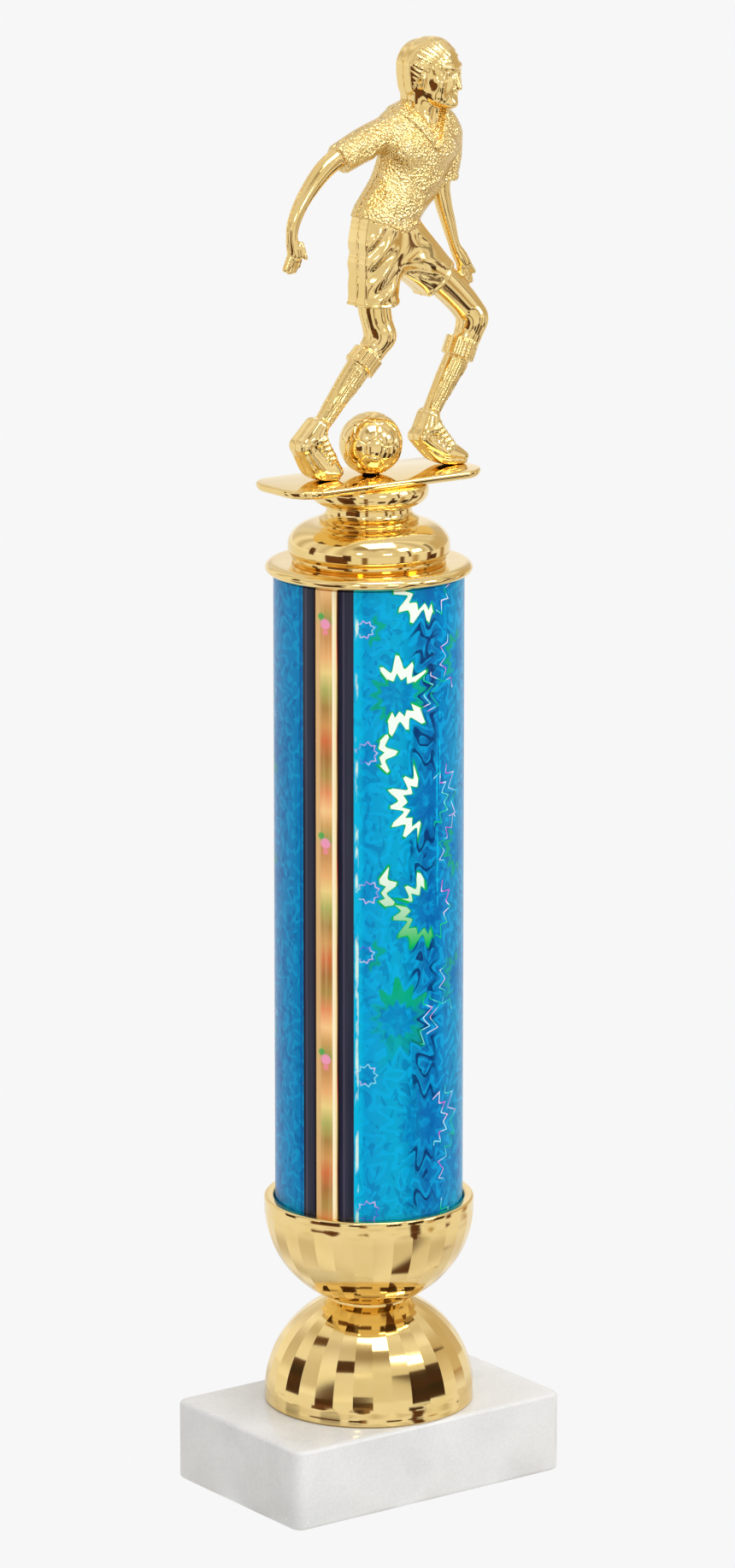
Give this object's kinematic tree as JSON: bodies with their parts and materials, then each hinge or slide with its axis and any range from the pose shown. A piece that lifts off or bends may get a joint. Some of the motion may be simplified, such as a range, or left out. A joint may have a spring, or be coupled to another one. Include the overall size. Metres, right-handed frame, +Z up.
{
  "type": "figure trophy",
  "caption": "Tall trophy: marble block, fluted hourglass riser, foil-wrapped round column, and a gold running footballer with a ball on top.",
  "frame": {"origin": "middle of the object's footprint, on the surface that it stands on", "axes": "+Z up along the column, +X along the marble block's long side and the way the footballer runs, -Y towards the front, which the footballer's chest faces"},
  "size_m": [0.0888, 0.0572, 0.3934],
  "materials": {
    "white_marble": "polished, soft grey veining",
    "felt": "short felt",
    "zinc_steel": "bright zinc plate",
    "gold_plated_plastic": "vacuum-metallised bright gold over polystyrene",
    "tube_plastic": "plain extruded tube",
    "blue_foil": "azure prismatic foil with a starburst pattern",
    "gold_foil": "gold diffraction foil, shading from orange to olive",
    "black_foil": "gloss black foil",
    "brass": "plain turned brass"
  },
  "bodies": {
    "root": {"base_block": "white_marble", "base_pads": "felt", "base_nut": "zinc_steel", "spring_washer": "zinc_steel", "base_washer": "zinc_steel", "tie_rod": "zinc_steel", "riser": "gold_plated_plastic", "column_tube": "tube_plastic", "foil_wrap": "blue_foil", "gold_stripe": "gold_foil", "black_stripe_left": "black_foil", "black_stripe_right": "black_foil", "column_cap": "gold_plated_plastic", "lid_dome": "gold_plated_plastic", "figure_stand": "gold_plated_plastic", "insert_nut": "brass", "figure_front": "gold_plated_plastic", "figure_back": "gold_plated_plastic", "ball": "gold_plated_plastic"}
  },
  "joints": []
}
